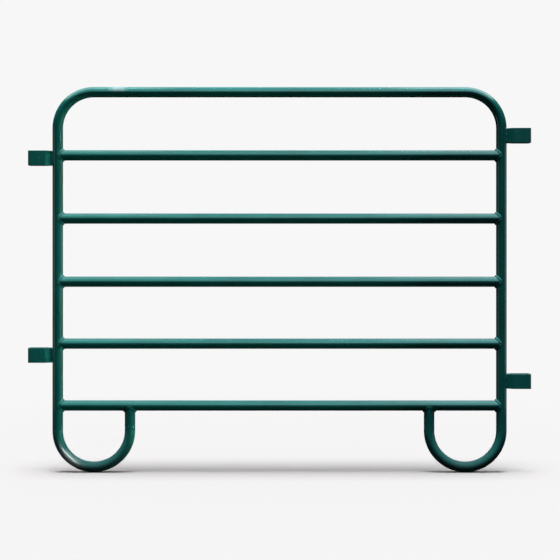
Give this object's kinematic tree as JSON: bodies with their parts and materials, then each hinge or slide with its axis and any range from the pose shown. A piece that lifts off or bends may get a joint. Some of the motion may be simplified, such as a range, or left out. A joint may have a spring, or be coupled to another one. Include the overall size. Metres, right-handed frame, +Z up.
{
  "type": "livestock panel",
  "caption": "Round-tube steel livestock panel with rounded top corners, cross rails, looped feet and strap eyes at each end for drop pins; it fences a pen or swings as a gate.",
  "frame": {"origin": "on the ground under the middle of the panel, at the bottom centre of its box", "axes": "+X along the panel, from the end with the two inner lugs to the end with the two outer lugs; +Z up; the front faces -Y"},
  "size_m": [1.985, 0.054, 1.5242],
  "materials": {
    "tube_paint": "glossy dark green enamel over steel tube",
    "lug_paint": "glossy dark green enamel over flat bar",
    "weld_paint": "dark green enamel over weld beads",
    "label_foil": "blank satin foil label"
  },
  "bodies": {
    "root": {"frame_tube": "tube_paint", "rail_1": "tube_paint", "rail_2": "tube_paint", "rail_3": "tube_paint", "rail_4": "tube_paint", "rail_5": "tube_paint", "lug_upper_left": "lug_paint", "lug_lower_left": "lug_paint", "lug_upper_right": "lug_paint", "lug_lower_right": "lug_paint", "weld_rail_1_left": "weld_paint", "weld_rail_1_right": "weld_paint", "weld_rail_2_left": "weld_paint", "weld_rail_2_right": "weld_paint", "weld_rail_3_left": "weld_paint", "weld_rail_3_right": "weld_paint", "weld_rail_4_left": "weld_paint", "weld_rail_4_right": "weld_paint", "weld_rail_5_left": "weld_paint", "weld_rail_5_right": "weld_paint", "weld_foot_left": "weld_paint", "weld_foot_right": "weld_paint", "welds_lug_upper_left": "weld_paint", "welds_lug_lower_left": "weld_paint", "welds_lug_upper_right": "weld_paint", "welds_lug_lower_right": "weld_paint", "blank_label": "label_foil"}
  },
  "joints": []
}
